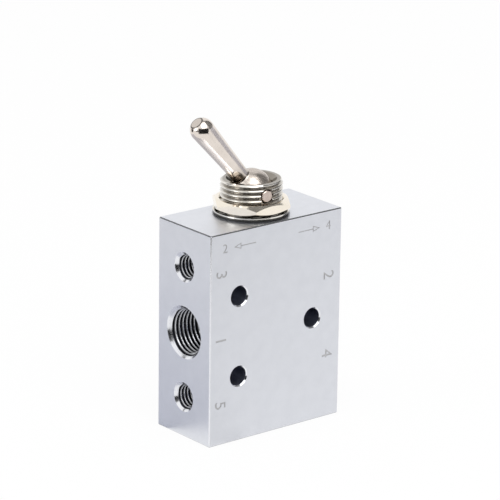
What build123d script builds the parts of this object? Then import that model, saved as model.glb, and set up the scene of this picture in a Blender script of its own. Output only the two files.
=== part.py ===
"""Five-port, two-position hand lever air valve.

An aluminium block carries a spool in a vertical bore. A toggle lever in a threaded
bushing turns a cam ball, the cam pushes the spool down, and a spring pushes it back.

Millimetres, +Z up. The origin is the centre of the block's bottom face. The block's wide
face looks along -Y, the supply port along -X, and the lever rests leaning towards -X.
"""
import math
import os

from build123d import *

# ---------------------------------------------------------------- driving dimensions
# Valve block
block_width = 32.0
block_depth = 16.0
block_height = 42.0
block_edge = 0.2

# Mounting holes, straight through the block: two in one column and one in the other
mount_hole_radius = 1.9
mount_column_spacing = 18.0
mount_row_spacing = 16.0
hole_edge = 0.22

# Ports. The heights of the exhausts and outlets are measured in from the block's ends.
port_radius = 4.864
port_depth = 8.0
port_mouth = 0.35
port_passage_radius = 1.3
exhaust_radius = 2.5
exhaust_depth = 4.4
exhaust_mouth = 0.45
exhaust_passage_radius = 1.1
exhaust_margin = 8.0
exhaust_to_outlet = 5.0
drill_point_angle = 118.0

# Spool, its stroke and the return spring
stroke = 1.8
spool_radius = 2.9
neck_depth = 0.8
neck_length = 2.0
spool_edge = 0.15
spool_end_gap = 0.3
spring_pocket_wall = 0.8
spring_pocket_roof = 0.8
spring_clearance = 0.1
spring_wire_radius = 0.22
spring_turns = 5.0
spring_wire_sides = 6
spring_end_gap = 0.02

# Stack of seals and spacers around the spool, and the bore that holds it
floor_thickness = 1.6
chamber_clearance = 0.4
seal_section = 2.0
seal_flat = 0.9
seal_clearance = 0.05
end_seal_offset = 2.9
spacer_clearance = 0.1
spacer_airway = 0.6
spacer_groove_depth = 0.7
spacer_rim = 0.7
spacer_window_radius = 0.65
spacer_window_count = 3

# Toggle bushing
bushing_radius = 6.0
bushing_height = 6.85
bushing_rim_chamfer = 0.35
cup_rim_land = 0.75
cup_depth = 1.4
web_thickness = 1.5
guide_clearance = 0.05
thread_clearance = 0.05
toggle_turn = -8.0

# Lever, cam ball and pivot pin
lever_lean = 40.0
pivot_above_block = 4.6
ball_radius = 4.0
ball_clearance = 0.1
cam_low = 1.8
cam_gap = 0.06
stem_base_radius = 1.5
stem_tip_radius = 2.33
lever_length = 19.35
tip_flat_radius = 1.25
stem_blend = 0.6
stem_rim_clearance = 0.15
pin_radius = 1.1
pin_running_clearance = 0.05
pin_seat_clearance = 0.02
pin_recess = 0.1
pin_chamfer = 0.12

# Follower that the cam presses
follower_clearance = 0.12
follower_height = 2.2
follower_edge = 0.25
tenon_radius = 1.8
tenon_length = 1.5
tenon_clearance = 0.02

# Hardware on the bushing, from the block up
hardware_bore_clearance = 0.2
gasket_width = 0.95
gasket_thickness = 0.35
washer_width = 1.2
washer_thickness = 0.5
lock_washer_ring_width = 0.45
lock_washer_thickness = 0.2
lock_washer_height = 0.35
lock_washer_teeth = 12
tooth_reach = 0.45
tooth_width = 1.7
tooth_twist = 6.0
nut_wall = 0.95
nut_thickness = 1.9
nut_chamfer_inset = 0.35
nut_foot_inset = 0.05
nut_chamfer_angle = 30.0
nut_countersink = 0.25
nut_turn = -2.0

# ---------------------------------------------------------------- derived places
supply_z = block_height / 2
exhaust_a_z = exhaust_margin
exhaust_b_z = block_height - exhaust_margin
outlet_a_z = exhaust_a_z + exhaust_to_outlet
outlet_b_z = exhaust_b_z - exhaust_to_outlet
mount_x = mount_column_spacing / 2

# Seal heights, bottom to top: one past each exhaust and one between each two ports
port_heights = [exhaust_a_z, outlet_a_z, supply_z, outlet_b_z, exhaust_b_z]
seal_heights = [exhaust_a_z - end_seal_offset]
for lower, upper in zip(port_heights, port_heights[1:]):
    seal_heights.append((lower + upper) / 2)
seal_heights.append(exhaust_b_z + end_seal_offset)

# Neck centres at rest: those already at their seal, and those one stroke above it
neck_heights = [
    seal_heights[1],
    seal_heights[2] + stroke,
    seal_heights[3],
    seal_heights[4] + stroke,
]

# The bore and what lies in it, sized outward from the spool
neck_radius = spool_radius - neck_depth
spring_pocket_radius = spool_radius - spring_pocket_wall
chamber_radius = spool_radius + chamber_clearance
spacer_inner_radius = spool_radius + spacer_airway
bore_radius = spool_radius + seal_section + 2 * seal_clearance

seal_half = seal_section / 2
seal_room = seal_half + seal_clearance
bore_floor_z = seal_heights[0] - seal_room
bushing_foot_z = seal_heights[-1] + seal_room
rim_z = block_height + bushing_height
pivot_z = block_height + pivot_above_block
cavity_radius = ball_radius + ball_clearance
web_top_z = bushing_foot_z + web_thickness
guide_radius = spool_radius + guide_clearance

spool_foot_z = floor_thickness + stroke + spool_end_gap
spring_top_z = neck_heights[0] - neck_length / 2 - spring_pocket_roof
follower_top_z = pivot_z - cam_low - cam_gap
follower_foot_z = follower_top_z - follower_height

# How far the leaning stem reaches out where it passes the bushing's rim. The cup's mouth
# leaves a land inside the rim, and is wider where the stem needs more room than that.
tip_centre = lever_length - stem_tip_radius
stem_flare = (stem_tip_radius - stem_base_radius) / tip_centre
lean_sine = math.sin(math.radians(lever_lean))
lean_cosine = math.cos(math.radians(lever_lean))
stem_run = (rim_z - pivot_z + stem_base_radius * lean_sine) / (lean_cosine - stem_flare * lean_sine)
stem_reach = stem_run * lean_sine + (stem_base_radius + stem_flare * stem_run) * lean_cosine
cup_mouth_radius = max(
    bushing_radius - bushing_rim_chamfer - cup_rim_land,
    stem_reach + stem_rim_clearance,
)

# Hardware, sized outward from the bushing
hardware_bore = bushing_radius + hardware_bore_clearance
gasket_radius = hardware_bore + gasket_width
washer_radius = hardware_bore + washer_width
lock_washer_ring_radius = hardware_bore + lock_washer_ring_width
lock_washer_radius = lock_washer_ring_radius + tooth_reach
nut_hole_radius = bushing_radius + thread_clearance
nut_across_flats = 2 * (nut_hole_radius + nut_wall)
nut_chamfer_radius = nut_across_flats / 2 - nut_chamfer_inset
nut_foot_radius = nut_across_flats / 2 - nut_foot_inset

gasket_z = block_height
washer_z = gasket_z + gasket_thickness
lock_washer_z = washer_z + washer_thickness
nut_z = lock_washer_z + lock_washer_height

lever_sweep = math.radians(2 * lever_lean)
cam_rate = stroke / lever_sweep


# ---------------------------------------------------------------- helpers
def rod(radius, start, end):
    """A round bar between two points."""
    axis = Vector(*end) - Vector(*start)
    return Plane(origin=start, z_dir=axis) * Cylinder(
        radius, axis.length, align=(Align.CENTER, Align.CENTER, Align.MIN)
    )


def post(radius, low_z, high_z):
    """A vertical round bar on the valve's axis."""
    return rod(radius, (0, 0, low_z), (0, 0, high_z))


def ring(outer_radius, inner_radius, low_z, high_z):
    """A flat ring on the valve's axis."""
    return post(outer_radius, low_z, high_z) - post(inner_radius, low_z, high_z)


def countersink(radius, depth, mouth, inward):
    """A 45 degree cone that breaks the edge of a round hole at its mouth."""
    wide = radius + depth
    cone = Cone(wide, 0.0, wide, align=(Align.CENTER, Align.CENTER, Align.MIN))
    return Plane(origin=mouth, z_dir=inward) * cone


def turned(points):
    """A solid of revolution about the valve's axis from (radius, height) corners."""
    outline = Polyline([(radius, 0, height) for radius, height in points], close=True)
    return revolve(make_face(outline), axis=Axis.Z)


# ---------------------------------------------------------------- valve block
def drill_point(radius, foot, inward):
    """The cone that a drill leaves at the foot of a blind hole."""
    length = radius / math.tan(math.radians(drill_point_angle / 2))
    cone = Cone(radius, 0.0, length, align=(Align.CENTER, Align.CENTER, Align.MIN))
    return Plane(origin=foot, z_dir=inward) * cone


def drilled_port(side, height, radius, depth, mouth, passage):
    """A tapped port on a narrow face, with the passage that leads on to the bore."""
    face = (side * block_width / 2, 0, height)
    foot = (side * (block_width / 2 - depth), 0, height)
    inward = (-side, 0, 0)
    hole = rod(radius, face, foot) + countersink(radius, mouth, face, inward)
    hole += drill_point(radius, foot, inward)
    hole += rod(passage, foot, (0, 0, height))
    return hole


def mount_hole(x, height):
    """A fixing hole through the block, with both mouths deburred."""
    face_y = block_depth / 2
    hole = rod(mount_hole_radius, (x, -face_y, height), (x, face_y, height))
    for side in (-1, 1):
        hole += countersink(mount_hole_radius, hole_edge, (x, side * face_y, height), (0, -side, 0))
    return hole


def valve_block():
    """The sawn and drilled aluminium bar that everything else fits into."""
    block = Box(block_width, block_depth, block_height, align=(Align.CENTER, Align.CENTER, Align.MIN))
    block = chamfer(block.edges(), block_edge)
    block -= post(chamber_radius, floor_thickness, bore_floor_z)
    block -= post(bore_radius, bore_floor_z, bushing_foot_z)
    block -= post(bushing_radius + thread_clearance, bushing_foot_z, block_height)
    large = (port_radius, port_depth, port_mouth, port_passage_radius)
    small = (exhaust_radius, exhaust_depth, exhaust_mouth, exhaust_passage_radius)
    block -= drilled_port(-1, supply_z, *large)
    block -= drilled_port(1, outlet_a_z, *large)
    block -= drilled_port(1, outlet_b_z, *large)
    block -= drilled_port(-1, exhaust_a_z, *small)
    block -= drilled_port(-1, exhaust_b_z, *small)
    block -= mount_hole(-mount_x, supply_z + mount_row_spacing / 2)
    block -= mount_hole(-mount_x, supply_z - mount_row_spacing / 2)
    block -= mount_hole(mount_x, supply_z)
    return block


# ---------------------------------------------------------------- seals and spacers
def spool_seal(height):
    """A seal ring, pressed flat where it meets the bore wall and the spool."""
    middle = (bore_radius + spool_radius) / 2
    reach = seal_half - seal_clearance
    flat = seal_flat / 2
    return turned([
        (middle - reach, height - flat),
        (middle, height - reach),
        (middle + reach, height - flat),
        (middle + reach, height + flat),
        (middle, height + reach),
        (middle - reach, height + flat),
    ])


def seal_spacer(low_seal_z, high_seal_z, port_z):
    """A ring that keeps two seals apart and lets air through at its port."""
    low = low_seal_z + seal_room
    high = high_seal_z - seal_room
    outer = bore_radius - spacer_clearance
    spacer = ring(outer, spacer_inner_radius, low, high)
    floor = outer - spacer_groove_depth
    spacer -= ring(outer, floor, low + spacer_rim, high - spacer_rim)
    for index in range(spacer_window_count):
        turn = math.radians(360 * index / spacer_window_count)
        reach = (outer * math.cos(turn), outer * math.sin(turn), port_z)
        spacer -= rod(spacer_window_radius, (0, 0, port_z), reach)
    return spacer


# ---------------------------------------------------------------- spool and spring
def spool():
    """The turned spool: lands that seal, necks that let air pass under a seal."""
    corners = [(0, spool_foot_z), (spool_radius - spool_edge, spool_foot_z)]
    corners.append((spool_radius, spool_foot_z + spool_edge))
    for height in neck_heights:
        low = height - neck_length / 2
        high = height + neck_length / 2
        corners.append((spool_radius, low))
        corners.append((neck_radius, low + spool_edge))
        corners.append((neck_radius, high - spool_edge))
        corners.append((spool_radius, high))
    corners.append((spool_radius, follower_foot_z))
    corners.append((tenon_radius, follower_foot_z))
    corners.append((tenon_radius, follower_foot_z + tenon_length))
    corners.append((0, follower_foot_z + tenon_length))
    return turned(corners) - post(spring_pocket_radius, spool_foot_z, spring_top_z)


def return_spring():
    """A compression spring with ground ends, between the block's floor and the spool."""
    low = floor_thickness + spring_end_gap
    high = spring_top_z - spring_end_gap
    coil_radius = spring_pocket_radius - spring_clearance - spring_wire_radius
    length = high - low
    path = Pos(0, 0, low) * Helix(pitch=length / spring_turns, height=length, radius=coil_radius)
    section = Plane(origin=path @ 0, z_dir=path % 0) * RegularPolygon(spring_wire_radius, spring_wire_sides)
    coil = sweep(section, path=path, is_frenet=True)
    return coil & post(spring_pocket_radius, low, high)


# ---------------------------------------------------------------- toggle bushing
def toggle_bushing():
    """The threaded bushing: a web that guides the spool, a bore for the ball, and a cup."""
    cup_foot_z = rim_z - cup_depth
    sleeve = turned([
        (guide_radius, bushing_foot_z),
        (bushing_radius - bushing_rim_chamfer, bushing_foot_z),
        (bushing_radius, bushing_foot_z + bushing_rim_chamfer),
        (bushing_radius, rim_z - bushing_rim_chamfer),
        (bushing_radius - bushing_rim_chamfer, rim_z),
        (cup_mouth_radius, rim_z),
        (cavity_radius, cup_foot_z),
        (cavity_radius, web_top_z),
        (guide_radius, web_top_z),
    ])
    reach = bushing_radius
    pin_hole = rod(pin_radius + pin_seat_clearance, (0, -reach, pivot_z), (0, reach, pivot_z))
    return Rot(0, 0, toggle_turn) * (sleeve - pin_hole)


def pivot_pin():
    """The pin that the lever turns on, riveted through the bushing's wall."""
    half = bushing_radius - pin_recess
    pin = rod(pin_radius, (0, -half, pivot_z), (0, half, pivot_z))
    pin = chamfer(pin.edges().filter_by(GeomType.CIRCLE), pin_chamfer)
    return Rot(0, 0, toggle_turn) * pin


# ---------------------------------------------------------------- lever
def lever_blank():
    """Ball and tapered stem in one turning, on the pivot, standing upright."""
    ball = Circle(ball_radius)
    stem = make_face(Polyline([
        (0, 0),
        (stem_base_radius, 0),
        (stem_tip_radius, tip_centre),
        (0, tip_centre),
    ], close=True))
    tip = Pos(0, tip_centre) * Circle(stem_tip_radius)
    flat_height = tip_centre + math.sqrt(stem_tip_radius**2 - tip_flat_radius**2)
    tip -= Pos(0, flat_height) * Rectangle(
        2 * stem_tip_radius, stem_tip_radius, align=(Align.CENTER, Align.MIN)
    )
    right_half = Rectangle(4 * lever_length, 4 * lever_length, align=(Align.MIN, Align.CENTER))
    section = (ball + stem + tip) & right_half
    root_corner = section.vertices().filter_by(lambda v: v.X > 0.1 and 0 < v.Y < ball_radius)
    section = fillet(root_corner, stem_blend)
    return revolve(Plane.XZ * section, axis=Axis.Z)


def cam_outline():
    """The cam's lower edge, seen along the pivot.

    Its distance from the pivot, measured straight down on the follower, grows evenly with
    the lever's turn, so the contact stays at one offset and the spool follows in
    proportion. A flat beyond each end of the curve lies on the follower as the stop.
    """
    def contact(turn):
        facing = turn - lever_sweep / 2
        reach = cam_low + cam_rate * turn
        x = reach * math.sin(facing) + cam_rate * math.cos(facing)
        z = -reach * math.cos(facing) + cam_rate * math.sin(facing)
        return (x, 0, z)

    steps = 12
    curve = Spline(
        [contact(lever_sweep * step / steps) for step in range(steps + 1)],
        tangents=[(math.cos(lever_sweep / 2), 0, -math.sin(lever_sweep / 2)),
                  (math.cos(lever_sweep / 2), 0, math.sin(lever_sweep / 2))],
    )
    far = 2 * ball_radius
    top = lever_length
    first_flat = Line(curve @ 0 - (curve % 0) * far, curve @ 0)
    last_flat = Line(curve @ 1, curve @ 1 + (curve % 1) * far)
    left = first_flat @ 0
    right = last_flat @ 1
    frame = Polyline([tuple(right), (far, 0, top), (-far, 0, top), tuple(left)])
    return make_face([first_flat, curve, last_flat, frame])


def toggle_lever():
    """The lever, with the cam cut on its ball and the pin hole across it."""
    keep = extrude(cam_outline(), amount=ball_radius, dir=(0, 1, 0), both=True)
    lever = lever_blank() & keep
    reach = ball_radius
    lever -= rod(pin_radius + pin_running_clearance, (0, -reach, 0), (0, reach, 0))
    return Pos(0, 0, pivot_z) * Rot(0, 0, toggle_turn) * Rot(0, -lever_lean, 0) * lever


def cam_follower():
    """The cap on the spool's stem that the cam bears on."""
    radius = cavity_radius - follower_clearance
    cap = post(radius, follower_foot_z, follower_top_z)
    cap = chamfer(cap.edges().filter_by(GeomType.CIRCLE), follower_edge)
    return cap - post(tenon_radius + tenon_clearance, follower_foot_z, follower_foot_z + tenon_length)


# ---------------------------------------------------------------- hardware
def panel_nut():
    """Thin hexagon nut, chamfered on both faces and countersunk at both ends of its thread."""
    corner_radius = nut_across_flats / 2 / math.cos(math.pi / 6)
    blank = extrude(RegularPolygon(corner_radius, 6), nut_thickness)
    slope = math.tan(math.radians(nut_chamfer_angle))
    limit = turned([
        (0, 0),
        (nut_foot_radius, 0),
        (corner_radius, (corner_radius - nut_foot_radius) * slope),
        (corner_radius, nut_thickness - (corner_radius - nut_chamfer_radius) * slope),
        (nut_chamfer_radius, nut_thickness),
        (0, nut_thickness),
    ])
    nut = blank & limit
    nut -= post(nut_hole_radius, 0, nut_thickness)
    nut -= countersink(nut_hole_radius, nut_countersink, (0, 0, nut_thickness), (0, 0, -1))
    nut -= countersink(nut_hole_radius, nut_countersink, (0, 0, 0), (0, 0, 1))
    return Pos(0, 0, nut_z) * Rot(0, 0, nut_turn) * nut


def lock_washer():
    """Toothed lock washer: twisted teeth around a thin ring."""
    middle = lock_washer_z + lock_washer_height / 2
    half = lock_washer_thickness / 2
    washer = ring(lock_washer_ring_radius, hardware_bore, middle - half, middle + half)
    root = (hardware_bore + lock_washer_ring_radius) / 2
    length = lock_washer_radius - root
    tooth = Box(length, tooth_width, lock_washer_thickness, align=(Align.MIN, Align.CENTER, Align.CENTER))
    tooth = Pos(root, 0, 0) * Rot(tooth_twist, 0, 0) * tooth
    for index in range(lock_washer_teeth):
        washer += Pos(0, 0, middle) * Rot(0, 0, 360 * index / lock_washer_teeth) * tooth
    return washer & ring(lock_washer_radius, hardware_bore, lock_washer_z, nut_z)


# ---------------------------------------------------------------- build and write
def all_parts():
    """Every piece by its node name, in place at rest."""
    parts = {
        "valve_block": valve_block(),
        "toggle_bushing": toggle_bushing(),
        "bushing_gasket": ring(gasket_radius, hardware_bore, gasket_z, washer_z),
        "flat_washer": ring(washer_radius, hardware_bore, washer_z, lock_washer_z),
        "lock_washer": lock_washer(),
        "panel_nut": panel_nut(),
        "pivot_pin": pivot_pin(),
        "toggle_lever": toggle_lever(),
        "cam_follower": cam_follower(),
        "spool": spool(),
        "return_spring": return_spring(),
    }
    for number, height in enumerate(seal_heights, start=1):
        parts[f"spool_seal_{number}"] = spool_seal(height)
    gaps = zip(seal_heights, seal_heights[1:], port_heights)
    for number, (low, high, port) in enumerate(gaps, start=1):
        parts[f"seal_spacer_{number}"] = seal_spacer(low, high, port)
    return parts


os.makedirs("parts", exist_ok=True)
for name, solid in all_parts().items():
    export_step(solid, f"parts/{name}.step")
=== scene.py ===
import math

import bmesh
import bpy
from mathutils import Matrix, Quaternion, Vector


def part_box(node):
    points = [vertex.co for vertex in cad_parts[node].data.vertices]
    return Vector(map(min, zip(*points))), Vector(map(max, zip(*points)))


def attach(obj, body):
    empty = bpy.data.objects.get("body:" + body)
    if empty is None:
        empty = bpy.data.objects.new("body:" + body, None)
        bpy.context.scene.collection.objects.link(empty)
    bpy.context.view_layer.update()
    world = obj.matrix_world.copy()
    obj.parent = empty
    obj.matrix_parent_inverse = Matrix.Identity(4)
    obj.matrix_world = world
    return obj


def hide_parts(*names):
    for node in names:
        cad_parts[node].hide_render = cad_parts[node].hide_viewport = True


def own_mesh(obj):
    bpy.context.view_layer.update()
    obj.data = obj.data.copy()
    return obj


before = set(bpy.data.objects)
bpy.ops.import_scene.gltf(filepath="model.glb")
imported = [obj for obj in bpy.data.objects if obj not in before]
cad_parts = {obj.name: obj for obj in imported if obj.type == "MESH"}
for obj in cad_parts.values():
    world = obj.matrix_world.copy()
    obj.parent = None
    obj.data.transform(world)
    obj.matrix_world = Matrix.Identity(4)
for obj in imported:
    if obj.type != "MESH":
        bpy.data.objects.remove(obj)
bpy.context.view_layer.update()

# Hand lever air valve. Sizes are in metres; MM turns millimetres into them.
MM = 0.001

# ------------------------------------------------------------------ camera and studio
# A long lens looks down a little on the port face and the marked face. The valve
# stands on white paper in a bright tent, under soft lamps. Sheets of felt that show
# only as reflections give the plated parts their dark sides.
camera_azimuth = math.radians(-39.161)
camera_elevation = math.radians(17.667)
camera_roll = math.radians(0.794)
camera_distance = 615.8 * MM
camera_aim = Vector((6.20, 7.77, 31.20)) * MM
camera_lens = 227.89
camera_near = 10.0 * MM
sensor_width = 36.0


def direction(azimuth, elevation):
    """The unit vector from the valve towards a place in the studio."""
    return Vector((
        math.sin(azimuth) * math.cos(elevation),
        -math.cos(azimuth) * math.cos(elevation),
        math.sin(elevation),
    ))


def in_scene(name, data):
    """A new object, linked into the scene."""
    item = bpy.data.objects.new(name, data)
    bpy.context.collection.objects.link(item)
    return item


camera_data = bpy.data.cameras.new("camera")
camera_data.lens = camera_lens
camera_data.sensor_width = sensor_width
camera_data.clip_start = camera_near
camera = in_scene("camera", camera_data)
towards_camera = direction(camera_azimuth, camera_elevation)
camera.rotation_mode = "QUATERNION"
camera.rotation_quaternion = (towards_camera.to_track_quat("Z", "Y")
                              @ Quaternion((0, 0, 1), camera_roll))
camera.location = camera_aim + towards_camera * camera_distance
bpy.context.scene.camera = camera
bpy.context.scene.view_settings.view_transform = "Standard"

lamp_distance = 0.9


def soft_lamp(name, azimuth, elevation, size, power):
    """A square softbox, turned to face the valve."""
    lamp_data = bpy.data.lights.new(name, "AREA")
    lamp_data.shape = "SQUARE"
    lamp_data.size = size
    lamp_data.energy = power
    lamp = in_scene(name, lamp_data)
    away = direction(math.radians(azimuth), math.radians(elevation))
    lamp.location = camera_aim + away * lamp_distance
    lamp.rotation_mode = "QUATERNION"
    lamp.rotation_quaternion = away.to_track_quat("Z", "Y")


soft_lamp("front_lamp", azimuth=-15, elevation=52, size=0.7, power=3.0)
soft_lamp("left_lamp", azimuth=-100, elevation=13, size=0.3, power=1.05)
soft_lamp("top_lamp", azimuth=10, elevation=84, size=0.6, power=0.5)


def new_material(name):
    """A node material, with its tree and its shader."""
    material = bpy.data.materials.new(name)
    material.use_nodes = True
    tree = material.node_tree
    return material, tree, tree.nodes["Principled BSDF"]


def matt_paint(name, colour):
    """A plain matt colour for the studio's own things."""
    material, _, shader = new_material(name)
    shader.inputs["Base Color"].default_value = (*colour, 1.0)
    shader.inputs["Roughness"].default_value = 1.0
    return material


black_felt = matt_paint("black_felt", (0.012, 0.012, 0.013))
dark_grey_felt = matt_paint("dark_grey_felt", (0.23, 0.23, 0.23))
grey_felt = matt_paint("grey_felt", (0.58, 0.59, 0.65))
felt_pieces = 10
flag_distance = 0.5
strip_distance = 0.13
table_felt_along = math.radians(-141)
table_felt_across = math.radians(-51)
table_felt_lift = 0.1 * MM


def felt_sheet(name, felt, place, first_range, second_range):
    """A curved sheet of felt that shows only as a reflection. Its points come from place,
    which takes two angles or distances, each run over its own range."""
    def run(limits):
        low, high = limits
        return [low + (high - low) * step / felt_pieces for step in range(felt_pieces + 1)]

    vertices = [place(first, second) for first in run(first_range) for second in run(second_range)]
    side = felt_pieces + 1
    faces = [(a * side + b, a * side + b + 1, (a + 1) * side + b + 1, (a + 1) * side + b)
             for a in range(felt_pieces) for b in range(felt_pieces)]
    mesh = bpy.data.meshes.new(name)
    mesh.from_pydata(vertices, [], faces)
    mesh.materials.append(felt)
    item = in_scene(name, mesh)
    item.visible_camera = False
    item.visible_diffuse = False
    item.visible_shadow = False


def hung(azimuth, elevation):
    """A place on the flags, half a metre from the valve."""
    away = direction(math.radians(azimuth), math.radians(elevation))
    return camera_aim + away * flag_distance


def stood(azimuth, height):
    """A place on the low strips that stand close round the valve."""
    return direction(math.radians(azimuth), 0) * strip_distance + Vector((0, 0, height))


def laid(across, along):
    """A place on the felt that lies on the paper to the back left of the valve."""
    return (direction(table_felt_along, 0) * along + direction(table_felt_across, 0) * across
            + Vector((0, 0, table_felt_lift)))


felt_sheet("front_flag", black_felt, hung, (-72, 24), (-8, 26))
felt_sheet("front_low_flag", black_felt, hung, (-98, -72), (-8, 5))
felt_sheet("front_strip", black_felt, stood, (-72, 18), (5 * MM, 46 * MM))
felt_sheet("left_strip", black_felt, stood, (-150, -126), (22 * MM, 62 * MM))
felt_sheet("back_left_flag", dark_grey_felt, hung, (-164, -142), (31, 62))
felt_sheet("right_flag", dark_grey_felt, hung, (30, 106), (12, 72))
felt_sheet("right_low_flag", grey_felt, hung, (42, 88), (-6, 12))
felt_sheet("overhead_flag", dark_grey_felt, hung, (70, 162), (70, 90))
felt_sheet("left_table_felt", grey_felt, laid, (-70 * MM, 28 * MM), (14 * MM, 116 * MM))


def calc(tree, operation, *values):
    """The result of one Math node. Each value is a number or another node's socket."""
    node = tree.nodes.new("ShaderNodeMath")
    node.operation = operation
    for socket, value in zip(node.inputs, values):
        if isinstance(value, bpy.types.NodeSocket):
            tree.links.new(value, socket)
        else:
            socket.default_value = value
    return node.outputs[0]


def seen_directly(tree):
    """1 for the camera and for what the valve reflects or lets through, otherwise 0."""
    path = tree.nodes.new("ShaderNodeLightPath").outputs
    seen = calc(tree, "MAXIMUM", path["Is Camera Ray"], path["Is Glossy Ray"])
    return calc(tree, "MAXIMUM", seen, path["Is Transmission Ray"])


tent_fill = 0.75
world = bpy.data.worlds.new("white_tent")
world.use_nodes = True
tent = world.node_tree
tent_cloth = tent.nodes["Background"]
tent_strength = tent.nodes.new("ShaderNodeMapRange")
tent_strength.inputs["To Min"].default_value = tent_fill
tent_strength.inputs["To Max"].default_value = 1.0
tent.links.new(seen_directly(tent), tent_strength.inputs["Value"])
tent.links.new(tent_strength.outputs["Result"], tent_cloth.inputs["Strength"])
tent_cloth.inputs["Color"].default_value = (1.0, 1.0, 1.0, 1.0)
bpy.context.scene.world = world

# The sheet of paper burns out to white but keeps a trace of the valve's shadow
paper_half = 2.0
paper_drop = 0.02 * MM
paper_burn = 0.92
paper_mesh = bpy.data.meshes.new("white_paper")
paper_corners = [(x * paper_half, y * paper_half, -paper_drop)
                 for x, y in ((-1, -1), (1, -1), (1, 1), (-1, 1))]
paper_mesh.from_pydata(paper_corners, [], [(0, 1, 2, 3)])
paper_sheet = in_scene("white_paper", paper_mesh)
paper = matt_paint("white_paper", (0.93, 0.93, 0.93))
paper_tree = paper.node_tree
burnt = calc(paper_tree, "MULTIPLY", seen_directly(paper_tree), paper_burn)
glow = paper_tree.nodes.new("ShaderNodeEmission")
paper_mix = paper_tree.nodes.new("ShaderNodeMixShader")
paper_tree.links.new(burnt, paper_mix.inputs[0])
paper_tree.links.new(paper_tree.nodes["Principled BSDF"].outputs[0], paper_mix.inputs[1])
paper_tree.links.new(glow.outputs[0], paper_mix.inputs[2])
paper_tree.links.new(paper_mix.outputs[0], paper_tree.nodes["Material Output"].inputs["Surface"])
paper_mesh.materials.append(paper)

# ------------------------------------------------------------------ valve block
# A sawn length of drawn aluminium bar, milled, drilled and clear anodised to a fine
# satin. Its port numbers and lever arrows are cut lightly into the wide face. Painted
# shade darkens the drilled walls and the broken edges along its top and foot.
block_low, block_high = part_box("valve_block")
exhaust_a_z, exhaust_b_z = 8.0 * MM, 34.0 * MM
outlet_a_z, outlet_b_z = 13.0 * MM, 29.0 * MM
supply_z = 21.0 * MM
noise_detail = 3.0
noise_low, noise_high = 0.3, 0.7
cloud_scale = 400.0
relief_depth = 0.01 * MM


def grain(tree, scale, stretch=(1.0, 1.0, 1.0)):
    """Noise in the piece's own coordinates, drawn out along the axes with a small stretch."""
    coordinates = tree.nodes.new("ShaderNodeTexCoord")
    mapping = tree.nodes.new("ShaderNodeMapping")
    mapping.inputs["Scale"].default_value = stretch
    noise = tree.nodes.new("ShaderNodeTexNoise")
    noise.inputs["Scale"].default_value = scale
    noise.inputs["Detail"].default_value = noise_detail
    tree.links.new(coordinates.outputs["Object"], mapping.inputs["Vector"])
    tree.links.new(mapping.outputs["Vector"], noise.inputs["Vector"])
    return noise.outputs["Fac"]


def between(tree, noise, low, high):
    """A noise value, which seldom leaves the middle of its range, spread from low to high."""
    node = tree.nodes.new("ShaderNodeMapRange")
    node.inputs["From Min"].default_value = noise_low
    node.inputs["From Max"].default_value = noise_high
    node.inputs["To Min"].default_value = low
    node.inputs["To Max"].default_value = high
    tree.links.new(noise, node.inputs["Value"])
    return node.outputs["Result"]


def mixed(tree, factor, first, second):
    """Two colours mixed by a factor; each may be another node's socket."""
    node = tree.nodes.new("ShaderNodeMix")
    node.data_type = "RGBA"
    tree.links.new(factor, node.inputs[0])
    for socket, colour in ((node.inputs[6], first), (node.inputs[7], second)):
        if isinstance(colour, bpy.types.NodeSocket):
            tree.links.new(colour, socket)
        else:
            socket.default_value = (*colour, 1.0)
    return node.outputs[2]


def relieved(tree, shader, height, strength):
    """A shallow relief on the surface, from a height between 0 and 1."""
    bump = tree.nodes.new("ShaderNodeBump")
    bump.inputs["Strength"].default_value = strength
    bump.inputs["Distance"].default_value = relief_depth
    tree.links.new(height, bump.inputs["Height"])
    tree.links.new(bump.outputs["Normal"], shader.inputs["Normal"])


def metal(name, light, dark, roughness, grain_scale, relief, stretch=(1.0, 1.0, 1.0)):
    """A bare or plated metal: a little mottled, unevenly polished, with a directional grain."""
    material, tree, shader = new_material(name)
    shader.inputs["Metallic"].default_value = 1.0
    fine = grain(tree, grain_scale, stretch)
    cloud = between(tree, grain(tree, cloud_scale), 0.0, 1.0)
    tree.links.new(mixed(tree, cloud, dark, light), shader.inputs["Base Color"])
    tree.links.new(between(tree, fine, *roughness), shader.inputs["Roughness"])
    relieved(tree, shader, fine, relief)
    return material


satin_aluminium = metal(
    "satin_aluminium", (0.765, 0.78, 0.825), (0.735, 0.75, 0.795),
    roughness=(0.34, 0.44), grain_scale=12000.0, relief=0.25, stretch=(1.0, 1.0, 0.08))
machined_aluminium = metal(
    "machined_aluminium", (0.86, 0.87, 0.90), (0.80, 0.81, 0.85),
    roughness=(0.14, 0.24), grain_scale=9000.0, relief=0.15)
# Painted shade: the drilled walls are coloured dark to stand in for the shade inside the bores.
drilled_aluminium = metal(
    "drilled_aluminium", (0.34, 0.36, 0.45), (0.24, 0.26, 0.33),
    roughness=(0.4, 0.6), grain_scale=5000.0, relief=0.4)
# Painted shade: the broken edges along the top and foot are coloured darker for a thin dark line.
edge_aluminium = metal(
    "edge_aluminium", (0.52, 0.53, 0.56), (0.42, 0.43, 0.46),
    roughness=(0.16, 0.26), grain_scale=9000.0, relief=0.15)
cut_marks = metal(
    "cut_marks", (0.64, 0.64, 0.65), (0.57, 0.57, 0.58),
    roughness=(0.5, 0.6), grain_scale=9000.0, relief=0.3)

join_reach = 0.0005 * MM
sliver_reach = 0.0002 * MM
real_edge_angle = 25.0


def joined_mesh(name, vertices, faces):
    """A mesh with its coinciding points joined."""
    mesh = bpy.data.meshes.new(name)
    mesh.from_pydata(vertices, [], faces)
    shape = bmesh.new()
    shape.from_mesh(mesh)
    bmesh.ops.remove_doubles(shape, verts=shape.verts, dist=join_reach)
    bmesh.ops.dissolve_degenerate(shape, edges=shape.edges, dist=sliver_reach)
    shape.to_mesh(mesh)
    shape.free()
    return mesh


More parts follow.
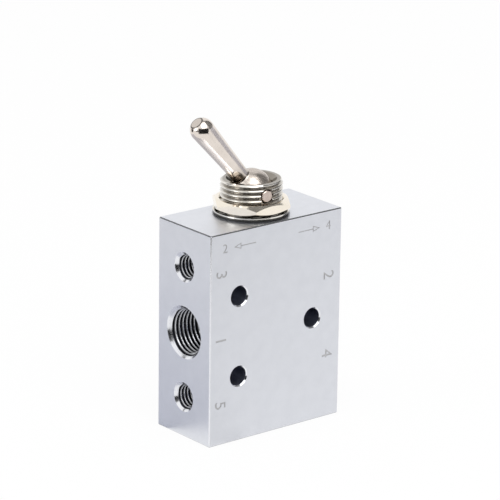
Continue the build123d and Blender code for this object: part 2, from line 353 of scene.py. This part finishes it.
def cad_shape(node_name):
    """A CAD node's shape as a new mesh with its triangles joined."""
    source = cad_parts[node_name].data
    vertices = [vertex.co.copy() for vertex in source.vertices]
    faces = [tuple(polygon.vertices) for polygon in source.polygons]
    return joined_mesh(node_name, vertices, faces)


def rounded_shading(mesh, edge_angle=real_edge_angle):
    """Smooth shading that keeps every edge sharper than the angle."""
    mesh.shade_smooth()
    mesh.set_sharp_from_angle(angle=math.radians(edge_angle))


def piece(name, mesh, body, node_name):
    """A finished piece that stands for a CAD node, with its place in its mesh."""
    item = in_scene(name, mesh)
    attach(item, body)
    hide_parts(node_name)
    return item


def plain_mesh(item):
    """The mesh that an object's text, curve or modifiers come to."""
    bpy.context.view_layer.update()
    evaluated = item.evaluated_get(bpy.context.evaluated_depsgraph_get())
    return bpy.data.meshes.new_from_object(evaluated)


def carved(mesh, cutter_mesh, operation="DIFFERENCE"):
    """One mesh cut by, or fused with, another. The cut walls keep the cutter's finish."""
    target = in_scene("target", mesh)
    cutter = in_scene("cutter", cutter_mesh)
    cut = target.modifiers.new("cut", "BOOLEAN")
    cut.operation = operation
    cut.solver = "EXACT"
    cut.object = cutter
    cut.material_mode = "TRANSFER"
    result = plain_mesh(target)
    result.name = mesh.name
    bpy.data.objects.remove(target)
    bpy.data.objects.remove(cutter)
    return result


# Heights of the marks above the block's foot, and places across its face
mark_depth = 0.06 * MM
mark_line = 0.17 * MM
arrow_z = 38.95 * MM
arrow_tail_x, arrow_tip_x = 5.2 * MM, 10.5 * MM
arrow_head_length, arrow_head_half = 1.75 * MM, 0.62 * MM
arrow_label_x = 12.6 * MM
arrow_label_size = 2.5 * MM
near_label_x, far_label_x = -13.55 * MM, 12.75 * MM
label_size = 3.6 * MM
label_turn = math.radians(-90)
letter_steps = 4


def lever_arrow(way):
    """A line with an outlined triangle at its tip, to the right (1) or to the left (-1)."""
    tail_x, tip_x = way * arrow_tail_x, way * arrow_tip_x
    root_x = tip_x - way * arrow_head_length
    half = mark_line / 2
    outer = [(tail_x, arrow_z - half), (root_x, arrow_z - half),
             (root_x, arrow_z - arrow_head_half), (tip_x, arrow_z),
             (root_x, arrow_z + arrow_head_half), (root_x, arrow_z + half),
             (tail_x, arrow_z + half)]
    slope = arrow_head_length / arrow_head_half
    inset_tip = mark_line * math.sqrt(1 + slope ** 2)
    inner_x = root_x + way * mark_line
    inner_half = arrow_head_half * (1 - (inset_tip + mark_line) / arrow_head_length)
    inner = [(inner_x, arrow_z - inner_half), (tip_x - way * inset_tip, arrow_z),
             (inner_x, arrow_z + inner_half)]
    return [outer, inner]


def marks_mesh(name, loops, characters):
    """Flat shapes, and characters as (text, x, y, size, turn), given a depth both ways."""
    drawing = bpy.data.curves.new(name, "CURVE")
    drawing.dimensions = "2D"
    drawing.fill_mode = "BOTH"
    drawing.extrude = mark_depth
    for loop in loops:
        spline = drawing.splines.new("POLY")
        spline.points.add(len(loop) - 1)
        for point, (x, y) in zip(spline.points, loop):
            point.co = (x, y, 0, 1)
        spline.use_cyclic_u = True
    layers = [(drawing, Matrix.Identity(4))]
    for text, x, y, size, turn in characters:
        letter = bpy.data.curves.new(name, "FONT")
        letter.body = text
        letter.size = size
        letter.align_x = "CENTER"
        letter.align_y = "CENTER"
        letter.extrude = mark_depth
        letter.resolution_u = letter_steps
        layers.append((letter, Matrix.Translation((x, y, 0)) @ Matrix.Rotation(turn, 4, "Z")))
    vertices, faces = [], []
    for data, place in layers:
        holder = in_scene(name, data)
        flat = plain_mesh(holder)
        first = len(vertices)
        vertices.extend(place @ vertex.co for vertex in flat.vertices)
        faces.extend(tuple(first + index for index in polygon.vertices)
                     for polygon in flat.polygons)
        bpy.data.objects.remove(holder)
    return joined_mesh(name, vertices, faces)


mark_cutter = marks_mesh("marks", lever_arrow(-1) + lever_arrow(1), [
    ("2", -arrow_label_x, arrow_z, arrow_label_size, 0.0),
    ("4", arrow_label_x, arrow_z, arrow_label_size, 0.0),
    ("3", near_label_x, exhaust_b_z, label_size, label_turn),
    ("1", near_label_x, supply_z, label_size, label_turn),
    ("5", near_label_x, exhaust_a_z, label_size, label_turn),
    ("2", far_label_x, outlet_b_z, label_size, label_turn),
    ("4", far_label_x, outlet_a_z, label_size, label_turn),
])
upright_turn = Matrix.Rotation(math.radians(90), 4, "X")
mark_cutter.transform(Matrix.Translation((0, block_low.y, 0)) @ upright_turn)
mark_cutter.materials.append(cut_marks)

# Drilled walls lie deeper than the countersinks and get painted shade. A slanted face
# nearer the outside is a countersink or, close to two sides of the block, one of its
# broken edges; those along the top and foot are coloured darker as painted shade.
countersink_depth = 0.48 * MM
edge_reach = 0.25 * MM
square_on = 0.9
nearly_upright = 0.2
machined_slot, shaded_bore_slot, shaded_edge_slot = 1, 2, 3
block_mesh = cad_shape("valve_block")
for finish in (satin_aluminium, machined_aluminium, drilled_aluminium, edge_aluminium):
    block_mesh.materials.append(finish)
for face in block_mesh.polygons:
    insets = sorted(min(face.center[axis] - block_low[axis], block_high[axis] - face.center[axis])
                    for axis in range(3))
    slanted = max(abs(value) for value in face.normal) < square_on
    if insets[0] > countersink_depth:
        face.material_index = shaded_bore_slot
    elif slanted and insets[1] <= edge_reach and abs(face.normal.z) >= nearly_upright:
        face.material_index = shaded_edge_slot
    elif slanted:
        face.material_index = machined_slot
block_mesh = carved(block_mesh, mark_cutter)

# ------------------------------------------------------------------ port threads
# The supply and outlet ports are tapped G 1/8 and the exhausts M5. Each thread is cut
# in the block's own wall. Its first turns run out in the port's countersunk mouth.
rows_to_pitch = 8
wall_rows = 3
thread_land = 1 / 8


def held(tree, value, low, high):
    """A value held between two limits."""
    return calc(tree, "MINIMUM", calc(tree, "MAXIMUM", value, low), high)


def screw_thread_tree():
    """A thread on a short closed tube along Z, cut back by a 45 degree cone at its end."""
    tree = bpy.data.node_groups.new("screw_thread", "GeometryNodeTree")
    socket = tree.interface.new_socket
    for name in ("Crest Radius", "Root Radius", "Wall Radius", "Pitch", "Start", "End",
                 "Cone Radius", "Side"):
        socket(name=name, in_out="INPUT", socket_type="NodeSocketFloat")
    socket(name="Segments", in_out="INPUT", socket_type="NodeSocketInt")
    socket(name="Finish", in_out="INPUT", socket_type="NodeSocketMaterial")
    socket(name="Geometry", in_out="OUTPUT", socket_type="NodeSocketGeometry")
    given = tree.nodes.new("NodeGroupInput").outputs
    pitch, start, end, side = given["Pitch"], given["Start"], given["End"], given["Side"]

    # Rows follow the helix, so that the crest's edges lie on rows
    step = calc(tree, "DIVIDE", pitch, float(rows_to_pitch))
    tube = calc(tree, "SUBTRACT", end, start)
    rows = calc(tree, "CEIL", calc(tree, "DIVIDE", calc(tree, "ADD", tube, pitch), step))
    grid = tree.nodes.new("GeometryNodeMeshGrid")
    grid.inputs["Size X"].default_value = 1.0
    grid.inputs["Size Y"].default_value = 1.0
    tree.links.new(calc(tree, "ADD", given["Segments"], 1.0), grid.inputs["Vertices X"])
    tree.links.new(calc(tree, "ADD", rows, 1.0 + wall_rows), grid.inputs["Vertices Y"])
    place = tree.nodes.new("ShaderNodeSeparateXYZ")
    tree.links.new(tree.nodes.new("GeometryNodeInputPosition").outputs[0], place.inputs[0])
    turn = calc(tree, "ADD", place.outputs["X"], 0.5)
    share = calc(tree, "ADD", place.outputs["Y"], 0.5)
    counted = calc(tree, "MULTIPLY", share, calc(tree, "ADD", rows, float(wall_rows)))
    row = calc(tree, "SUBTRACT", calc(tree, "ROUND", counted), 1.0)

    # The first row and the last two make the tube's other wall
    is_first = calc(tree, "LESS_THAN", row, -0.5)
    is_after = calc(tree, "GREATER_THAN", row, calc(tree, "ADD", rows, 0.5))
    is_last = calc(tree, "GREATER_THAN", row, calc(tree, "ADD", rows, 1.5))
    is_wall = calc(tree, "MAXIMUM", is_first, is_after)
    lift = calc(tree, "MULTIPLY", pitch, turn)
    below = calc(tree, "SUBTRACT", start, pitch)
    raw = calc(tree, "ADD", calc(tree, "ADD", below, calc(tree, "MULTIPLY", row, step)), lift)
    height = calc(tree, "SUBTRACT", held(tree, raw, start, end),
                  calc(tree, "MULTIPLY", is_last, tube))

    # Across one pitch: a flat crest and a flat root of one land each, and flanks
    climbed = calc(tree, "SUBTRACT", calc(tree, "SUBTRACT", height, lift), start)
    phase = calc(tree, "ADD", calc(tree, "DIVIDE", climbed, pitch), 0.5 - thread_land / 2)
    from_crest = calc(tree, "ABSOLUTE", calc(tree, "SUBTRACT", calc(tree, "FRACT", phase), 0.5))
    flank = calc(tree, "DIVIDE", calc(tree, "SUBTRACT", 0.5 - thread_land / 2, from_crest),
                 0.5 - thread_land)
    rise = held(tree, flank, 0.0, 1.0)
    span = calc(tree, "SUBTRACT", given["Crest Radius"], given["Root Radius"])
    thread = calc(tree, "ADD", given["Root Radius"], calc(tree, "MULTIPLY", rise, span))
    mouth = calc(tree, "MULTIPLY", side, given["Cone Radius"])
    cone = calc(tree, "ADD", mouth, calc(tree, "SUBTRACT", end, height))
    nearer = calc(tree, "MINIMUM", calc(tree, "MULTIPLY", side, thread), cone)
    cut = calc(tree, "MULTIPLY", side, nearer)
    to_wall = calc(tree, "MULTIPLY", is_wall, calc(tree, "SUBTRACT", given["Wall Radius"], cut))
    radius = calc(tree, "ADD", cut, to_wall)

    angle = calc(tree, "MULTIPLY", turn, 2 * math.pi)
    point = tree.nodes.new("ShaderNodeCombineXYZ")
    for axis, operation in (("X", "COSINE"), ("Y", "SINE")):
        offset = calc(tree, "MULTIPLY", radius, calc(tree, operation, angle))
        tree.links.new(offset, point.inputs[axis])
    tree.links.new(height, point.inputs["Z"])
    bend = tree.nodes.new("GeometryNodeSetPosition")
    tree.links.new(grid.outputs["Mesh"], bend.inputs["Geometry"])
    tree.links.new(point.outputs[0], bend.inputs["Position"])

    # A thread in a hole faces the axis
    flipped = tree.nodes.new("GeometryNodeFlipFaces")
    tree.links.new(bend.outputs["Geometry"], flipped.inputs["Mesh"])
    choose = tree.nodes.new("GeometryNodeSwitch")
    choose.input_type = "GEOMETRY"
    tree.links.new(calc(tree, "LESS_THAN", side, 0.0), choose.inputs["Switch"])
    tree.links.new(bend.outputs["Geometry"], choose.inputs["False"])
    tree.links.new(flipped.outputs["Mesh"], choose.inputs["True"])
    merge = tree.nodes.new("GeometryNodeMergeByDistance")
    merge.inputs["Distance"].default_value = join_reach
    realize = tree.nodes.new("GeometryNodeRealizeInstances")
    finish = tree.nodes.new("GeometryNodeSetMaterial")
    tree.links.new(choose.outputs["Output"], merge.inputs["Geometry"])
    tree.links.new(merge.outputs["Geometry"], realize.inputs["Geometry"])
    tree.links.new(realize.outputs["Geometry"], finish.inputs["Geometry"])
    tree.links.new(given["Finish"], finish.inputs["Material"])
    output = tree.nodes.new("NodeGroupOutput")
    tree.links.new(finish.outputs["Geometry"], output.inputs["Geometry"])
    return tree


screw_thread = screw_thread_tree()


def grown(name, tree, **sizes):
    """The plain mesh that a geometry tree makes with these inputs."""
    holder = in_scene(name, bpy.data.meshes.new(name))
    modifier = holder.modifiers.new(name, "NODES")
    modifier.node_group = tree
    for item in tree.interface.items_tree:
        key = item.name.replace(" ", "_").lower()
        if item.in_out == "INPUT" and key in sizes:
            modifier[item.identifier] = sizes[key]
    mesh = plain_mesh(holder)
    mesh.name = name
    bpy.data.objects.remove(holder)
    return mesh


def vector(tree, operation, first, second=(0.0, 0.0, 0.0)):
    """The result of one Vector Math node between a socket and a fixed vector."""
    node = tree.nodes.new("ShaderNodeVectorMath")
    node.operation = operation
    tree.links.new(first, node.inputs[0])
    node.inputs[1].default_value = second
    return node.outputs["Value" if operation in ("DOT_PRODUCT", "LENGTH") else "Vector"]


def overlaid(tree, shader, factor, colour):
    """Another colour laid over the shader's own, fully where the factor is 1."""
    own = shader.inputs["Base Color"].links[0].from_socket
    tree.links.new(mixed(tree, factor, own, colour), shader.inputs["Base Color"])


# The painted shade in a thread's roots keeps this little gloss.
shade_gloss = 0.05
cone_edge = 0.03 * MM


def thread_metal(name, light, dark, root_shade_colour, roughness, shade_dullness, centre, axis,
                 face, crest_radius, root_radius, cone_radius, darkening):
    """A cut thread about an axis: bright crests and end cone, painted shade in its roots."""
    material = metal(name, light, dark, roughness, grain_scale=9000.0, relief=0.2)
    tree = material.node_tree
    shader = tree.nodes["Principled BSDF"]
    own_place = tree.nodes.new("ShaderNodeTexCoord").outputs["Object"]
    from_centre = vector(tree, "SUBTRACT", own_place, centre)
    radius = vector(tree, "LENGTH", vector(tree, "CROSS_PRODUCT", from_centre, axis))
    along = calc(tree, "ABSOLUTE", vector(tree, "DOT_PRODUCT", from_centre, axis))
    depth = calc(tree, "SUBTRACT", face, along)
    # The end cone runs at 45 degrees, so radius and depth change alike along it
    way = 1.0 if root_radius > crest_radius else -1.0
    widened = calc(tree, "ADD", radius, calc(tree, "MULTIPLY", depth, way))
    off_cone = calc(tree, "MULTIPLY", calc(tree, "SUBTRACT", widened, cone_radius), way)
    beyond_cone = calc(tree, "SUBTRACT", 1.0, calc(tree, "LESS_THAN", off_cone, cone_edge))
    fall = calc(tree, "DIVIDE", calc(tree, "SUBTRACT", radius, crest_radius),
                root_radius - crest_radius)
    groove = calc(tree, "MULTIPLY", calc(tree, "MULTIPLY", fall, darkening), beyond_cone)
    shade = held(tree, groove, 0.0, 1.0)
    # Painted shade: the grooves take the root colour and, for the ports, lose their metallic
    # shine.
    overlaid(tree, shader, shade, root_shade_colour)
    bare = calc(tree, "SUBTRACT", 1.0, calc(tree, "MULTIPLY", shade, shade_dullness))
    tree.links.new(bare, shader.inputs["Metallic"])
    shader.inputs["Specular IOR Level"].default_value = shade_gloss
    return material


# How far a thread's tube reaches into the wall and into the countersunk mouth, and how
# far its end cone lies behind the countersink, so that no two faces coincide
thread_embed = 0.1 * MM
mouth_overlap = 0.05 * MM
cone_recess = 0.01 * MM
port_segments = 96
g_eighth = {"major": 4.864 * MM, "minor": 4.283 * MM, "pitch": 0.907 * MM,
            "depth": 7.6 * MM, "mouth": 0.35 * MM}
m5 = {"major": 2.5 * MM, "minor": 2.1 * MM, "pitch": 0.8 * MM,
      "depth": 4.2 * MM, "mouth": 0.45 * MM}
# Each port's face, its height, where its thread starts in degrees, and its size
port_threads = [
    ("supply_port_thread", -1, supply_z, 180, g_eighth),
    ("outlet_a_thread", 1, outlet_a_z, 60, g_eighth),
    ("outlet_b_thread", 1, outlet_b_z, 220, g_eighth),
    ("exhaust_a_thread", -1, exhaust_a_z, 180, m5),
    ("exhaust_b_thread", -1, exhaust_b_z, 180, m5),
]
for thread_name, way, port_z, first_turn, size in port_threads:
    # The ports' thread roots get near black painted shade.
    port_metal = thread_metal(
        thread_name + "_metal", (0.86, 0.87, 0.90), (0.78, 0.79, 0.83),
        root_shade_colour=(0.012, 0.013, 0.017), roughness=(0.2, 0.32), shade_dullness=1.0,
        centre=(0, 0, port_z), axis=(1, 0, 0), face=block_high.x,
        crest_radius=size["minor"], root_radius=size["major"],
        cone_radius=size["major"] + size["mouth"] + cone_recess, darkening=2.3)
    thread_mesh = grown(
        thread_name, screw_thread, crest_radius=size["minor"], root_radius=size["major"],
        wall_radius=size["major"] + thread_embed, pitch=size["pitch"], start=-size["depth"],
        end=mouth_overlap - size["mouth"],
        cone_radius=size["major"] + mouth_overlap + cone_recess,
        side=-1.0, segments=port_segments, finish=port_metal)
    outward = (Matrix.Rotation(math.radians(90 * way), 4, "Y")
               @ Matrix.Rotation(math.radians(first_turn), 4, "Z"))
    thread_mesh.transform(Matrix.Translation((way * block_high.x, 0, port_z)) @ outward)
    block_mesh = carved(block_mesh, thread_mesh, "UNION")
rounded_shading(block_mesh)
piece("valve_block_marked", block_mesh, "body", "valve_block")

# ------------------------------------------------------------------ toggle bushing
# Turned brass with an M12 x 1 thread, nickel plated and bright, with a conical cup at
# its mouth. The pin's hole goes right through its wall and is a little countersunk.
bushing_low, bushing_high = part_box("toggle_bushing")
toggle_turn = math.radians(-8.0)
pivot_z = 46.6 * MM
bushing_crest_radius = 6.0 * MM
bushing_root_radius = 5.387 * MM
bushing_core_radius = 5.3 * MM
bushing_wall_radius = 5.2 * MM
bushing_cone_radius = 5.65 * MM
bushing_pitch = 1.0 * MM
bushing_segments = 120
bright_rim = 0.5 * MM
plated_edge_angle = 65.0
cup_slope = 0.2

# The bushing's thread roots get a dark brown painted shade.
bright_nickel = thread_metal(
    "bright_nickel", (0.86, 0.83, 0.78), (0.80, 0.77, 0.72),
    root_shade_colour=(0.30, 0.275, 0.24), roughness=(0.08, 0.16), shade_dullness=0.0,
    centre=(0, 0, 0), axis=(0, 0, 1), face=bushing_high.z,
    crest_radius=bushing_crest_radius, root_radius=bushing_root_radius,
    cone_radius=bushing_cone_radius, darkening=1.1)
# Painted shade: the cup and the ball's seat are coloured darker for the shade inside the cup.
cup_nickel = metal(
    "cup_nickel", (0.80, 0.74, 0.67), (0.44, 0.40, 0.355),
    roughness=(0.12, 0.26), grain_scale=7000.0, relief=0.3, stretch=(1.0, 1.0, 0.2))
# Painted shade: the pin's countersinks are coloured dark for the shade in them.
pin_recess = metal(
    "pin_recess", (0.26, 0.23, 0.20), (0.18, 0.16, 0.14),
    roughness=(0.3, 0.45), grain_scale=7000.0, relief=0.3)

# The plain bushing is drawn in to the thread's root, and the thread is fused on round it
bushing_core = cad_shape("toggle_bushing")
for vertex in bushing_core.vertices:
    reach = math.hypot(vertex.co.x, vertex.co.y)
    if reach > bushing_core_radius:
        vertex.co.x *= bushing_core_radius / reach
        vertex.co.y *= bushing_core_radius / reach
bushing_core.materials.append(bright_nickel)
bushing_thread = grown(
    "bushing_thread", screw_thread, crest_radius=bushing_crest_radius,
    root_radius=bushing_root_radius, wall_radius=bushing_wall_radius, pitch=bushing_pitch,
    start=bushing_low.z, end=bushing_high.z, cone_radius=bushing_cone_radius,
    side=1.0, segments=bushing_segments, finish=bright_nickel)
bushing_mesh = carved(bushing_thread, bushing_core, "UNION")

pin_hole_radius, pin_mouth_radius = 1.12 * MM, 1.55 * MM
countersink_start, countersink_end = 5.15 * MM, 6.1 * MM
post_segments = 64


def tapered_post(name, low_radius, high_radius, low, high):
    """A closed round post along Z that widens towards its top."""
    vertices = []
    for radius, height in ((low_radius, low), (high_radius, high)):
        for index in range(post_segments):
            angle = 2 * math.pi * index / post_segments
            vertices.append((radius * math.cos(angle), radius * math.sin(angle), height))
    faces = []
    for index in range(post_segments):
        after = (index + 1) % post_segments
        faces.append((index, after, post_segments + after, post_segments + index))
    faces.append(tuple(reversed(range(post_segments))))
    faces.append(tuple(range(post_segments, 2 * post_segments)))
    mesh = bpy.data.meshes.new(name)
    mesh.from_pydata(vertices, [], faces)
    return mesh


for half_turn in (0.0, math.pi):
    countersink = tapered_post("pin_countersink", pin_hole_radius, pin_mouth_radius,
                               countersink_start, countersink_end)
    countersink.materials.append(pin_recess)
    countersink.transform(Matrix.Rotation(toggle_turn + half_turn, 4, "Z")
                          @ Matrix.Translation((0, 0, pivot_z))
                          @ Matrix.Rotation(math.radians(90), 4, "X"))
    bushing_mesh = carved(bushing_mesh, countersink)

# Faces that look towards the axis below the rim are the cup and the ball's seat, and
# take the darker nickel of the cup's painted shade
bright_slot, cup_shade_slot = 0, len(bushing_mesh.materials)
bushing_mesh.materials.append(cup_nickel)
rim_low = bushing_high.z - bright_rim
for face in bushing_mesh.polygons:
    inward = -(face.normal.x * face.center.x + face.normal.y * face.center.y)
    faces_axis = inward > cup_slope * math.hypot(face.center.x, face.center.y)
    if faces_axis and face.material_index == bright_slot and face.center.z < rim_low:
        face.material_index = cup_shade_slot

# The thread's edges are rounded by the plating; those of the rim stay crisp
rounded_shading(bushing_mesh)
points = bushing_mesh.vertices
rim_edges = [edge.index for edge in bushing_mesh.edges if edge.use_edge_sharp
             and min(points[index].co.z for index in edge.vertices) > rim_low]
rounded_shading(bushing_mesh, plated_edge_angle)
for index in rim_edges:
    bushing_mesh.edges[index].use_edge_sharp = True
piece("toggle_bushing_threaded", bushing_mesh, "body", "toggle_bushing")

# ------------------------------------------------------------------ panel hardware
# From the block up: a black nitrile gasket, a flat washer, a toothed lock washer and a
# thin hexagon nut. The metal ones are stamped or cut, then nickel plated. The flat
# washer's lower edge is painted near black, a painted shadow above the gasket, and the
# lock washer is painted dark, a painted shade between the washer and the nut.
washer_shade_top = 42.6 * MM
plated_steel = metal(
    "plated_steel", (0.85, 0.83, 0.78), (0.80, 0.78, 0.73),
    roughness=(0.10, 0.2), grain_scale=12000.0, relief=0.12)
# Painted shadow: below this height the flat washer is coloured near black where it sits on the
# gasket.
steel_tree = plated_steel.node_tree
steel_place = steel_tree.nodes.new("ShaderNodeTexCoord").outputs["Object"]
steel_height = vector(steel_tree, "DOT_PRODUCT", steel_place, (0, 0, 1))
overlaid(steel_tree, steel_tree.nodes["Principled BSDF"],
         calc(steel_tree, "LESS_THAN", steel_height, washer_shade_top), (0.07, 0.066, 0.06))
# Painted shade: the plated lock washer is coloured dark for the shade between washer and nut.
dark_steel = metal(
    "dark_steel", (0.26, 0.24, 0.215), (0.13, 0.12, 0.11),
    roughness=(0.2, 0.3), grain_scale=12000.0, relief=0.12)
nut_nickel = metal(
    "nut_nickel", (0.93, 0.86, 0.75), (0.89, 0.82, 0.71),
    roughness=(0.08, 0.16), grain_scale=12000.0, relief=0.12)


def moulded(name, first, second, roughness, grain_scale):
    """Moulded rubber or plastic with a faint bloom."""
    material, tree, shader = new_material(name)
    fine = grain(tree, grain_scale)
    bloom = mixed(tree, between(tree, fine, 0.0, 1.0), first, second)
    tree.links.new(bloom, shader.inputs["Base Color"])
    tree.links.new(between(tree, fine, *roughness), shader.inputs["Roughness"])
    return material


black_nitrile = moulded("black_nitrile", (0.012, 0.012, 0.013), (0.0216, 0.0216, 0.0234),
                        roughness=(0.45, 0.65), grain_scale=6000.0)


def finished(node_name, name, body, finish):
    """A CAD node's own shape, shaded smooth between its real edges."""
    mesh = cad_shape(node_name)
    mesh.materials.append(finish)
    rounded_shading(mesh)
    return piece(name, mesh, body, node_name)


finished("bushing_gasket", "bushing_gasket_moulded", "body", black_nitrile)
finished("flat_washer", "flat_washer_plated", "body", plated_steel)
finished("lock_washer", "lock_washer_plated", "body", dark_steel)
finished("panel_nut", "panel_nut_plated", "body", nut_nickel)

# ------------------------------------------------------------------ pivot pin
# A short brass pin pressed through the bushing's wall. Its ends are dressed flush and
# lightly plated, so the brass shows a little pink.
pin_brass = metal(
    "pin_brass", (0.90, 0.77, 0.70), (0.74, 0.62, 0.55),
    roughness=(0.3, 0.45), grain_scale=7000.0, relief=0.4)
finished("pivot_pin", "pivot_pin_dressed", "body", pin_brass)

# ------------------------------------------------------------------ toggle lever
# One brass turning: a ball with the cam cut on its hidden side, and a stem that swells
# towards a rounded tip with a small flat. Nickel plated over fine turning marks.
lever_lean = math.radians(40.0)
ball_radius = 4.0 * MM
ball_skin = 0.05 * MM
ball_dulling = 0.16
ball_relief = 2.5
brush_marks = 60.0
brush_length = 250.0
axis_clearance = 0.1 * MM
stem_cloud_scale = 500.0
root_shade_end = 7.5 * MM
root_shade_strength = 0.75
tip_flat_radius = 1.25 * MM
tip_flat_height = 18.99 * MM
tip_flat_reach = 0.3 * MM
tip_flat_dulling = 0.45
tip_edge_half = 0.13 * MM
tip_edge_shade = 0.85


def brushed_nickel(name, light, dark, dull_and_shade, edge_dark, roughness, relief):
    """Nickel polished along the stem, so that the marks fan out over the ball."""
    material, tree, shader = new_material(name)
    shader.inputs["Metallic"].default_value = 1.0
    own_place = tree.nodes.new("ShaderNodeTexCoord").outputs["Object"]
    from_pivot = vector(tree, "SUBTRACT", own_place, (0, 0, pivot_z))
    upright = tree.nodes.new("ShaderNodeVectorRotate")
    upright.rotation_type = "AXIS_ANGLE"
    upright.inputs["Axis"].default_value = (-math.sin(toggle_turn), math.cos(toggle_turn), 0)
    upright.inputs["Angle"].default_value = lever_lean
    tree.links.new(from_pivot, upright.inputs["Vector"])
    parts = tree.nodes.new("ShaderNodeSeparateXYZ")
    tree.links.new(upright.outputs[0], parts.inputs[0])
    across = [parts.outputs["X"], parts.outputs["Y"]]
    up_stem = parts.outputs["Z"]
    squares = [calc(tree, "POWER", part, 2.0) for part in across]
    reach = calc(tree, "SQRT", calc(tree, "ADD", *squares))

    around = tree.nodes.new("ShaderNodeCombineXYZ")
    for part, socket in zip(across, around.inputs):
        share = calc(tree, "DIVIDE", part, calc(tree, "MAXIMUM", reach, axis_clearance))
        tree.links.new(calc(tree, "MULTIPLY", share, brush_marks), socket)
    tree.links.new(calc(tree, "MULTIPLY", up_stem, brush_length), around.inputs["Z"])
    marks = tree.nodes.new("ShaderNodeTexNoise")
    marks.inputs["Scale"].default_value = 1.0
    marks.inputs["Detail"].default_value = noise_detail
    tree.links.new(around.outputs[0], marks.inputs["Vector"])
    fine = marks.outputs["Fac"]
    cloud = between(tree, grain(tree, stem_cloud_scale), 0.0, 1.0)
    streak = between(tree, fine, 0.0, 1.0)
    both = calc(tree, "MULTIPLY", calc(tree, "ADD", cloud, streak), 0.5)

    # The ball is brushed harder than the stem, and painted shade darkens the stem towards its root
    from_middle = vector(tree, "LENGTH", from_pivot)
    on_ball = calc(tree, "LESS_THAN", from_middle, ball_radius + ball_skin)
    root = tree.nodes.new("ShaderNodeMapRange")
    root.inputs["From Min"].default_value = ball_radius
    root.inputs["From Max"].default_value = root_shade_end
    root.inputs["To Min"].default_value = root_shade_strength
    root.inputs["To Max"].default_value = 0.0
    tree.links.new(from_middle, root.inputs["Value"])
    on_stem = calc(tree, "SUBTRACT", 1.0, on_ball)
    root_shade_share = calc(tree, "MULTIPLY", root.outputs["Result"], on_stem)
    dull_ball = calc(tree, "MULTIPLY", on_ball, calc(tree, "SUBTRACT", 1.0, streak))
    dulled_and_shaded = calc(tree, "MAXIMUM", root_shade_share, dull_ball)

    # The tip's flat is faced, not polished, and a ring of painted shade runs round its edge
    on_tip = calc(tree, "GREATER_THAN", up_stem, tip_flat_height - tip_flat_reach)
    from_edge = calc(tree, "ABSOLUTE", calc(tree, "SUBTRACT", reach, tip_flat_radius))
    edge = calc(tree, "MULTIPLY", on_tip, calc(tree, "LESS_THAN", from_edge, tip_edge_half))
    flat = calc(tree, "MULTIPLY", on_tip, calc(tree, "LESS_THAN", reach, tip_flat_radius))
    dulled_and_shaded = calc(tree, "MAXIMUM", dulled_and_shaded, calc(tree, "MULTIPLY", flat, tip_flat_dulling))
    tree.links.new(mixed(tree, both, dark, light), shader.inputs["Base Color"])
    overlaid(tree, shader, dulled_and_shaded, dull_and_shade)
    overlaid(tree, shader, calc(tree, "MULTIPLY", edge, tip_edge_shade), edge_dark)

    rougher = calc(tree, "MULTIPLY", on_ball, ball_dulling)
    rough = calc(tree, "ADD", between(tree, fine, *roughness), rougher)
    tree.links.new(rough, shader.inputs["Roughness"])
    deeper = calc(tree, "ADD", calc(tree, "MULTIPLY", on_ball, ball_relief), 1.0)
    relieved(tree, shader, calc(tree, "MULTIPLY", fine, deeper), relief)
    return material


lever_nickel = brushed_nickel(
    "lever_nickel", (0.84, 0.765, 0.70), (0.70, 0.635, 0.575), dull_and_shade=(0.43, 0.38, 0.335),
    edge_dark=(0.05, 0.045, 0.04), roughness=(0.06, 0.15), relief=0.5)
finished("toggle_lever", "toggle_lever_plated", "lever", lever_nickel)

# ------------------------------------------------------------------ inside the block
# The spool and its follower are turned and polished. The seals are nitrile O-rings, and
# natural acetal spacers hold them apart.
polished_aluminium = metal(
    "polished_aluminium", (0.78, 0.78, 0.80), (0.70, 0.70, 0.72),
    roughness=(0.12, 0.22), grain_scale=9000.0, relief=0.2, stretch=(0.1, 0.1, 1.0))
hardened_steel = metal(
    "hardened_steel", (0.55, 0.55, 0.56), (0.46, 0.46, 0.48),
    roughness=(0.18, 0.3), grain_scale=9000.0, relief=0.2, stretch=(0.1, 0.1, 1.0))
natural_acetal = moulded("natural_acetal", (0.86, 0.85, 0.80), (0.80, 0.79, 0.74),
                         roughness=(0.35, 0.5), grain_scale=3000.0)
inner_finishes = {
    "spool_seal": black_nitrile,
    "seal_spacer": natural_acetal,
    "spool": polished_aluminium,
    "cam_follower": hardened_steel,
}
for node_name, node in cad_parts.items():
    inner_finish = inner_finishes.get(node_name.rstrip("_0123456789"))
    if inner_finish:
        node.data.materials.clear()
        node.data.materials.append(inner_finish)

# ------------------------------------------------------------------ return spring
# A few open coils of drawn steel wire. They stand on the block's floor, under the spool,
# and the piece is given a mesh of its own.
spring_wire = metal(
    "spring_wire", (0.50, 0.50, 0.51), (0.42, 0.42, 0.43),
    roughness=(0.25, 0.4), grain_scale=7000.0, relief=0.3)
spring = finished("return_spring", "return_spring_coils", "body", spring_wire)
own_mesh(spring)
